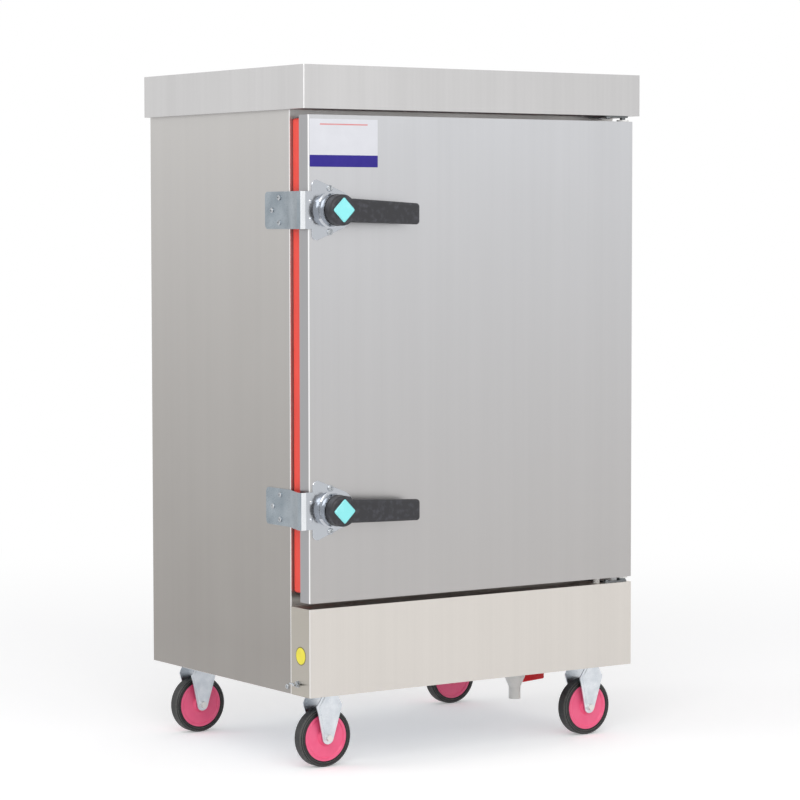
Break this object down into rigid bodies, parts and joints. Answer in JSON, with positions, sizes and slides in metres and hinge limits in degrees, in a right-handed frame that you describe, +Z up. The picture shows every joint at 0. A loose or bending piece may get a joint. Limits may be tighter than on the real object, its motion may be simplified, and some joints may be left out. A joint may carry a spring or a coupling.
{
  "type": "rice steamer cabinet",
  "caption": "Stainless steam cabinet on casters, with a hinged, gasketed door, lever latches, keepers, tray ledges, a water tank and a drain valve.",
  "frame": {"origin": "bottom centre of the whole cabinet's bounding box, on the floor", "axes": "+X to the right of someone facing the door, +Y from the door to the back, +Z up"},
  "size_m": [0.7318, 0.6066, 1.208],
  "materials": {
    "stainless": "brushed, grain upright",
    "liner_steel": "satin, mill finish",
    "insulation": "mineral wool",
    "galvanised_steel": "zinc plated",
    "screw_steel": "zinc plated",
    "latch_chrome": "polished",
    "cam_steel": "machined",
    "lever_plastic": "moulded, slightly worn",
    "badge_plastic": "glossy",
    "gasket_silicone": "satin",
    "white_nylon": "moulded",
    "heating_tube": "satin, heat tinted",
    "brass": "machined",
    "float_plastic": "moulded",
    "gland_plastic": "moulded",
    "valve_plastic": "moulded",
    "valve_lever_plastic": "moulded",
    "wheel_plastic": "moulded",
    "tyre_rubber": "satin"
  },
  "bodies": {
    "cabinet": {"left_side_panel": "stainless", "right_side_panel": "stainless", "back_panel": "stainless", "front_frame": "stainless", "inner_liner": "liner_steel", "body_insulation": "insulation", "top_cover": "stainless", "front_apron": "stainless", "side_screws": "screw_steel", "earth_stud": "screw_steel", "base_plate": "galvanised_steel", "base_rails": "galvanised_steel", "left_tray_rack": "liner_steel", "right_tray_rack": "liner_steel", "water_tank": "liner_steel", "heating_elements": "heating_tube", "steam_plate": "liner_steel", "float_valve": "brass", "water_inlet": "brass", "vent_pipe": "liner_steel", "cable_gland": "gland_plastic", "drain_pipe": "valve_plastic", "drain_valve": "valve_plastic", "hinge_plates": "screw_steel", "hinge_screws": "screw_steel", "door_rest_pad": "white_nylon", "caster_bolts": "screw_steel", "caster_axles": "screw_steel", "keepers": "galvanised_steel", "keeper_screws": "screw_steel", "front_left_fork": "galvanised_steel", "front_right_fork": "galvanised_steel", "rear_left_fork": "galvanised_steel", "rear_right_fork": "galvanised_steel"},
    "door": {"door_outer_skin": "stainless", "door_inner_skin": "stainless", "door_insulation": "insulation", "door_gasket": "gasket_silicone", "hinge_bushes": "white_nylon", "latch_screws": "screw_steel", "upper_latch_base": "latch_chrome", "lower_latch_base": "latch_chrome"},
    "upper_lever": {"upper_latch_lever": "lever_plastic", "upper_latch_badge": "badge_plastic", "upper_latch_cam": "cam_steel"},
    "upper_bolt": {"upper_latch_bolt": "latch_chrome"},
    "lower_lever": {"lower_latch_lever": "lever_plastic", "lower_latch_badge": "badge_plastic", "lower_latch_cam": "cam_steel"},
    "lower_bolt": {"lower_latch_bolt": "latch_chrome"},
    "drain_lever": {"drain_lever": "valve_lever_plastic"},
    "float_arm": {"float_arm": "float_plastic"},
    "front_left_wheel": {"front_left_wheel": "wheel_plastic", "front_left_tyre": "tyre_rubber"},
    "front_right_wheel": {"front_right_wheel": "wheel_plastic", "front_right_tyre": "tyre_rubber"},
    "rear_left_wheel": {"rear_left_wheel": "wheel_plastic", "rear_left_tyre": "tyre_rubber"},
    "rear_right_wheel": {"rear_right_wheel": "wheel_plastic", "rear_right_tyre": "tyre_rubber"}
  },
  "joints": [
    {"name": "door_swing", "type": "hinge", "parent": "cabinet", "child": "door", "pos_m": [0.337, -0.24625, 0.294], "axis": [0, 0, 1], "range_deg": [0, 180]},
    {"name": "upper_lever_turn", "type": "hinge", "parent": "door", "child": "upper_lever", "pos_m": [-0.304, -0.26075, 0.963], "axis": [0, -1, 0], "range_deg": [0, 90]},
    {"name": "upper_bolt_slide", "type": "slide", "parent": "door", "child": "upper_bolt", "axis": [1, 0, 0], "range_m": [0, 0.00801]},
    {"name": "lower_lever_turn", "type": "hinge", "parent": "door", "child": "lower_lever", "pos_m": [-0.304, -0.26075, 0.453], "axis": [0, -1, 0], "range_deg": [0, 90]},
    {"name": "lower_bolt_slide", "type": "slide", "parent": "door", "child": "lower_bolt", "axis": [1, 0, 0], "range_m": [0, 0.00801]},
    {"name": "drain_lever_turn", "type": "hinge", "parent": "cabinet", "child": "drain_lever", "pos_m": [0.17, -0.14395, 0.1095], "axis": [0, 1, 0], "range_deg": [0, 90]},
    {"name": "float_arm_swing", "type": "hinge", "parent": "cabinet", "child": "float_arm", "pos_m": [-0.2, 0.16665, 0.298], "axis": [-1, 0, 0], "range_deg": [0, 25]},
    {"name": "front_left_wheel_spin", "type": "hinge", "parent": "cabinet", "child": "front_left_wheel", "pos_m": [-0.286, -0.20075, 0.052], "axis": [0, 1, 0], "continuous": true},
    {"name": "front_right_wheel_spin", "type": "hinge", "parent": "cabinet", "child": "front_right_wheel", "pos_m": [0.286, -0.20075, 0.052], "axis": [0, 1, 0], "continuous": true},
    {"name": "rear_left_wheel_spin", "type": "hinge", "parent": "cabinet", "child": "rear_left_wheel", "pos_m": [-0.286, 0.22725, 0.052], "axis": [0, 1, 0], "continuous": true},
    {"name": "rear_right_wheel_spin", "type": "hinge", "parent": "cabinet", "child": "rear_right_wheel", "pos_m": [0.286, 0.22725, 0.052], "axis": [0, 1, 0], "continuous": true}
  ],
  "couplings": [
    {"joint": "upper_bolt_slide", "follows": "upper_lever_turn", "m_per_rad": 0.005093},
    {"joint": "lower_bolt_slide", "follows": "lower_lever_turn", "m_per_rad": 0.005093}
  ]
}
